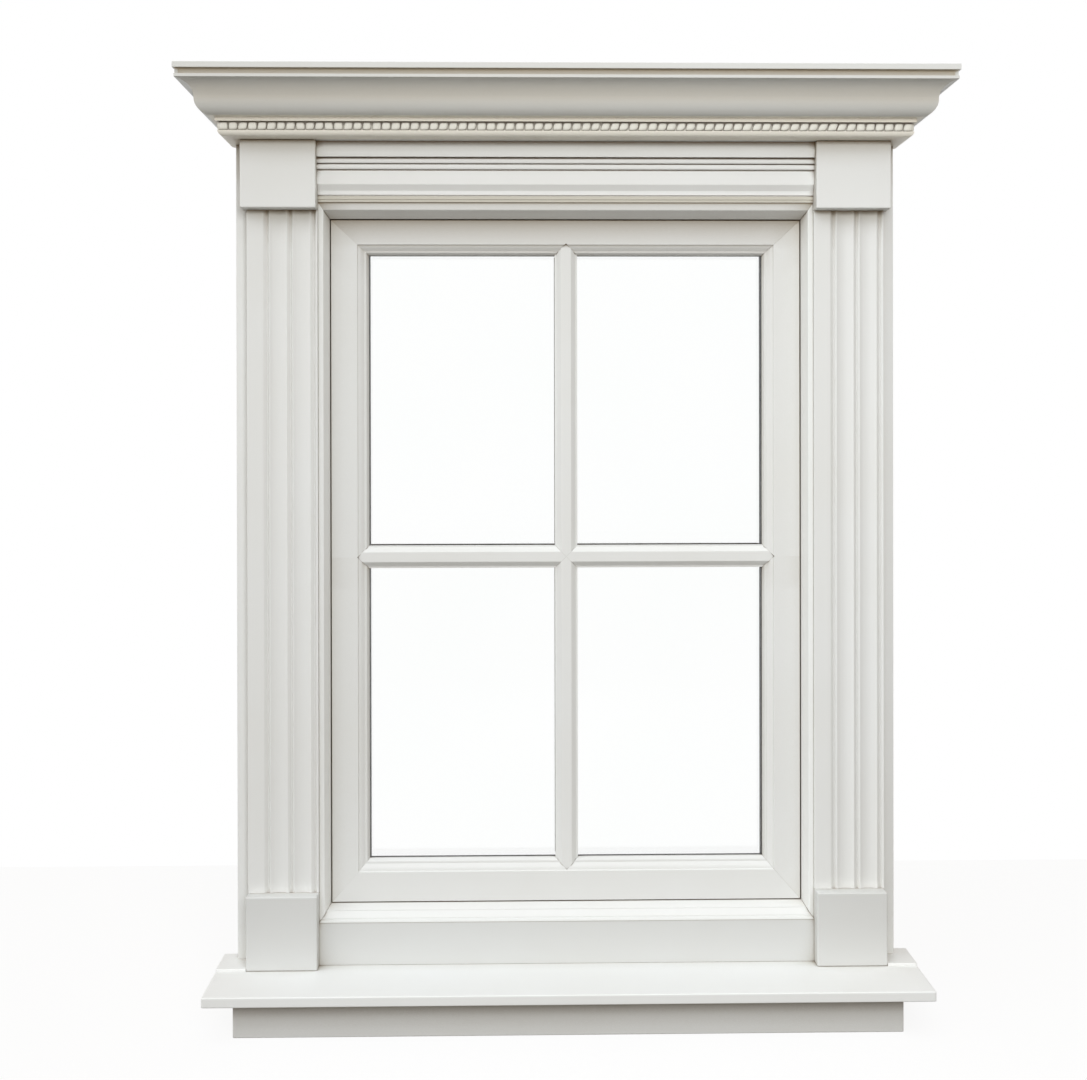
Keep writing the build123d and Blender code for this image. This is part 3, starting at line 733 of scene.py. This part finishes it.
# section of the crown from the core: quarter round, bead seat, fillet, swell, cove, bed
# mould, groove and cap; the large cuts turn corners into the round, the swell and the cove
def crownRows(groove):
    shape = crownShape
    seat, fillet, swell, bed, cap = (shape[key] for key in ("seat", "fillet", "swell", "bed", "cap"))
    ovolo, ovoloTop = shape["ovolo"]
    filletLow, filletHigh = shape["filletHeights"]
    swellLow, swellHigh = shape["swellHeights"]
    lowerCut, upperCut = shape["swellCuts"]
    bedLow, bedHigh = shape["bedHeights"]
    capLow, capHigh = shape["capHeights"]
    return [
        (0, 0, 0), (shape["soffit"], 0, 0), (ovolo - 1.9, 0.2, shape["roundCut"]), (ovolo, ovoloTop - 0.6, 0.8),
        (ovolo, ovoloTop, 0.4), (seat, ovoloTop, 0.3), (seat, filletLow, 0.3), (fillet, filletLow, 0.5),
        (fillet, filletHigh, 0.5), (swell - 10, filletHigh + 0.5, lowerCut), (swell, swellLow, upperCut),
        (swell, swellHigh, 0.8), (swell + 2.5, bedLow - 4.5, shape["coveCut"]), (bed - 1, bedLow, 0.4),
        (bed, bedLow, 0.4), (bed, bedHigh, 0.7), (cap - groove, bedHigh, 0.4), (cap - groove, capLow, 0.4),
        (cap, capLow, 0.7), (cap, capHigh, 1.2), (0, capHigh, 0),
    ]


coreLow, coreHigh = boxOf("crown_core")
coreSide, coreFront, coreFoot = coreHigh[0], coreLow[1], coreLow[2]
crownLoop = softened(crownRows(crownShape["frontGroove"]), crownShape["steps"])
crownSide = coreSide + crownLoop[:, 0]
shell = carried(crownLoop, (0, coreFront, coreFoot), -back, up, right, -crownSide, crownSide)
piece("crown_front", [shell], crownPaint)
returnLoop = softened(crownRows(crownShape["returnGroove"]), crownShape["steps"])
for name, side in (("crown_return_left", -1), ("crown_return_right", 1)):
    place = (side * coreSide, 0, coreFoot)
    shell = carried(returnLoop, place, side * right, up, -back, 0, returnLoop[:, 0] - coreFront)
    piece(name, [shell], returnPaint)
print("crown made")

# carved beads on the crown's seat: heights from its foot, distances out from its core, the
# scatter of each measure, and the lean of the beads at places along the front
beadShape = {
    "pitch": 13.8,
    "width": 12.7,
    "heights": (7.6, 19.7),
    "ground": 23,
    "sunk": 0.4,
    "face": 27.4,
    "squareness": 8,
    "dome": 0.06,
    "rounded": 0.09,
    "chop": 1.1,
    "placeScatter": 0.25,
    "widthScatter": 0.05,
    "tallScatter": 0.04,
    "leanScatter": 0.35,
    "leanAt": (-500, -330, 0, 330, 400, 440, 475, 500),
    "lean": (0.1, 0.3, 0.9, 1.5, 2.0, 0.6, 0.3, 1.6),
    "gridSteps": 7,
}


# one row of beads, a shell each: with s across and t up, both from -1 to 1, the face rises from
# the ground by sqrt((1 - |s|^8)(1 - |t|^8))(1 - dome (s^2 + t^2)), its sides are drawn in by
# rounded t^4 and rounded s^4, one lower corner is chopped, and lean t tips it sideways
def beadRow(origin, along, outward, run, leanFrom, seed):
    shape, draw = beadShape, np.random.default_rng(seed)
    count = int(run // shape["pitch"])
    each = (count, 1, 1)
    middle = (np.arange(count) + 0.5) * shape["pitch"] + (run - count * shape["pitch"]) / 2
    steps = shape["gridSteps"]
    places = np.sin(np.linspace(-np.pi / 2, np.pi / 2, steps))  # closer together towards the rim
    s, t = np.meshgrid(places, places)
    low, high = shape["heights"]
    middle = middle[:, None, None] + draw.normal(0, shape["placeScatter"], each)
    width = shape["width"] * (1 + shape["widthScatter"] * draw.uniform(-1, 1, each))
    tall = (high - low) * (1 + shape["tallScatter"] * draw.uniform(-1, 0.3, each))
    lean = np.interp(leanFrom + middle, shape["leanAt"], shape["lean"]) + draw.normal(0, shape["leanScatter"], each)
    corner = shape["rounded"] * draw.uniform(0.6, 1.5, each)
    chop = shape["chop"] * draw.uniform(0.1, 1, each) * np.maximum(s, 0) * np.maximum(-t, 0)
    x = middle + s * width / 2 * (1 - corner * t**4) + lean * t - 0.6 * chop
    z = (low + high) / 2 + t * tall / 2 * (1 - corner * s**4) + chop
    power = shape["squareness"]
    height = np.sqrt((1 - np.abs(s) ** power) * (1 - np.abs(t) ** power)) * (1 - shape["dome"] * (s**2 + t**2))
    ground = shape["ground"] - shape["sunk"]
    out = ground + (shape["face"] - ground) * height * draw.uniform(0.9, 1, each)
    grid = np.arange(steps**2).reshape(steps, steps)
    quads = np.stack([grid[:-1, :-1], grid[:-1, 1:], grid[1:, 1:], grid[1:, :-1]], -1).reshape(-1, 4)
    rim = np.concatenate([grid[0, :-1], grid[:-1, -1], grid[-1, :0:-1], grid[:0:-1, 0]])[::-1]
    points = origin + x[..., None] * along + z[..., None] * up + out[..., None] * outward
    return [(bead.reshape(-1, 3), quads, [rim]) for bead in points]


groundTall = crownShape["filletHeights"][0] - crownShape["ovolo"][1]
groundLoop = softened(rectangle(beadShape["ground"] - crownShape["seat"], groundTall, 0))
groundLoop = groundLoop + (crownShape["seat"], crownShape["ovolo"][1])
groundOut = groundLoop[:, 0]
foot = np.array([0, coreFront, coreFoot])
halfRow = coreSide + beadShape["face"] - 2
shells = [carried(groundLoop, foot, -back, up, right, -coreSide - groundOut, coreSide + groundOut)]
shells += beadRow(foot - halfRow * right, right, -back, 2 * halfRow, -halfRow, 5)
piece("bead_course_front", shells, beadPaint, crease=75)
shells = []
for side, seed in ((-1, 10), (1, 12)):
    foot = np.array([side * coreSide, 0, coreFoot])
    shells.append(carried(groundLoop, foot, side * right, up, -back, 0, groundOut - coreFront))
    shells += beadRow(foot, -back, side * right, beadShape["face"] - 1 - coreFront, 0, seed)
piece("bead_course_ends", shells, beadPaint, crease=75)
print("beads made")

# camera: its place, angles in degrees, lens in millimetres and shift as a share of the frame
cameraSet = {
    "place": (-69.8, -1997.21, 786.25),
    "turn": 0.998,
    "tilt": -0.151,
    "roll": -0.098,
    "sensor": 36,
    "lens": 43.688,
    "shift": (0.00067, -0.09002),
}
cameraData = bpy.data.cameras.new("camera")
camera = bpy.data.objects.new("camera", cameraData)
bpy.context.scene.collection.objects.link(camera)
facing = (
    Matrix.Rotation(radians(-cameraSet["turn"]), 4, "Z")
    @ Matrix.Rotation(radians(90 + cameraSet["tilt"]), 4, "X")
    @ Matrix.Rotation(radians(cameraSet["roll"]), 4, "Z")
)
camera.location = [value * millimetre for value in cameraSet["place"]]
camera.rotation_euler = facing.to_euler()
cameraData.sensor_width = cameraSet["sensor"]
cameraData.lens = cameraSet["lens"]
cameraData.shift_x, cameraData.shift_y = cameraSet["shift"]
bpy.context.scene.camera = camera

# light: three soft suns with their sides, heights and spreads in degrees, a panel in front with
# its place and size in metres, and a weak warm light from all around
sunSet = {
    "left": {"strength": 1.1, "side": -70, "height": 10, "spread": 50, "colour": (0.97, 1.0, 1.02)},
    "top": {"strength": 1.35, "side": -10, "height": 60, "spread": 50, "colour": (0.92, 1.0, 1.08)},
    "behind": {"strength": 1.5, "side": 180, "height": -14, "spread": 20, "colour": (0.9, 1.0, 1.1)},
}
panelSet = {"power": 37, "place": (0.3, -2.5, 1.5), "aim": (0, 0, 1.3), "size": 1.2, "colour": (0.97, 1.0, 1.02)}
aroundSet = {"strength": 0.25, "colour": (1.0, 0.72, 0.45)}
for name, values in sunSet.items():
    sunData = bpy.data.lights.new(name, "SUN")
    sunData.energy = values["strength"]
    sunData.angle = radians(values["spread"])
    sunData.color = values["colour"]
    sun = bpy.data.objects.new(name, sunData)
    bpy.context.scene.collection.objects.link(sun)
    turned = Matrix.Rotation(radians(values["side"]), 4, "Z")
    sun.rotation_euler = (turned @ Matrix.Rotation(radians(90 - values["height"]), 4, "X")).to_euler()
    sun.visible_transmission = False  # so that no lamp shows in the panes
    sun.visible_glossy = name != "behind"
panelData = bpy.data.lights.new("front", "AREA")
panelData.energy = panelSet["power"]
panelData.size = panelSet["size"]
panelData.color = panelSet["colour"]
panel = bpy.data.objects.new("front", panelData)
bpy.context.scene.collection.objects.link(panel)
panel.location = panelSet["place"]
panel.rotation_euler = (Vector(panelSet["aim"]) - Vector(panelSet["place"])).to_track_quat("-Z", "Y").to_euler()
panel.visible_transmission = False
panel.visible_glossy = False


# 1 for rays that the eye follows: straight from the camera, mirrored or through the glass
def seenRays(tree):
    rays = tree.nodes.new("ShaderNodeLightPath").outputs
    mirrored = mathOf(tree, "MAXIMUM", rays["Is Camera Ray"], rays["Is Glossy Ray"])
    return mathOf(tree, "MAXIMUM", mirrored, rays["Is Transmission Ray"])


# mixes two shaders by the factor and puts them on the tree's output
def shadeWith(tree, outputName, factor, first, second):
    blend = tree.nodes.new("ShaderNodeMixShader")
    tree.links.new(factor, blend.inputs["Fac"])
    tree.links.new(first, blend.inputs[1])
    tree.links.new(second, blend.inputs[2])
    tree.links.new(blend.outputs["Shader"], tree.nodes[outputName].inputs["Surface"])


world = bpy.data.worlds.new("studio")
bpy.context.scene.world = world
world.use_nodes = True
around = world.node_tree.nodes["Background"]
around.inputs["Color"].default_value = (*aroundSet["colour"], 1)
around.inputs["Strength"].default_value = aroundSet["strength"]
plain = world.node_tree.nodes.new("ShaderNodeBackground")
plain.inputs["Color"].default_value = (1, 1, 1, 1)
plain.inputs["Strength"].default_value = 1
shadeWith(
    world.node_tree, "World Output", seenRays(world.node_tree),
    around.outputs["Background"], plain.outputs["Background"],
)

# floor: sizes in metres, its colour to the lamps and to the eye, and the share of plain white
# glow that lifts what the eye sees to the white of the backdrop
floorSet = {
    "side": 40, "front": -10, "back": 0.65, "dull": (0.16, 0.15, 0.13), "seen": (0.99, 0.99, 0.99), "glow": 0.9,
}
side, front, rear, level = floorSet["side"], floorSet["front"], floorSet["back"], cadBox[0][2]
floorMesh = bpy.data.meshes.new("floor")
floorMesh.from_pydata(
    [(-side, front, level), (side, front, level), (side, rear, level), (-side, rear, level)], [], [(0, 1, 2, 3)]
)
floor = bpy.data.objects.new("floor", floorMesh)
bpy.context.scene.collection.objects.link(floor)
floorPaint, floorTree, floorShader = newMaterial("floor")
floorMesh.materials.append(floorPaint)
floorSeen = seenRays(floorTree)
floorColour = colourBetween(floorTree, floorSeen, floorSet["dull"], floorSet["seen"])
floorTree.links.new(floorColour, floorShader.inputs["Base Color"])
floorShader.inputs["Roughness"].default_value = 1
floorShader.inputs["Specular IOR Level"].default_value = 0
floorGlow = floorTree.nodes.new("ShaderNodeEmission")
floorGlow.inputs["Strength"].default_value = 1
shadeWith(
    floorTree, "Material Output", rangeOf(floorTree, floorSeen, 0, 1, 0, floorSet["glow"]),
    floorShader.outputs["BSDF"], floorGlow.outputs["Emission"],
)

bpy.context.scene.view_settings.view_transform = "Standard"
print("camera, light and floor ready")
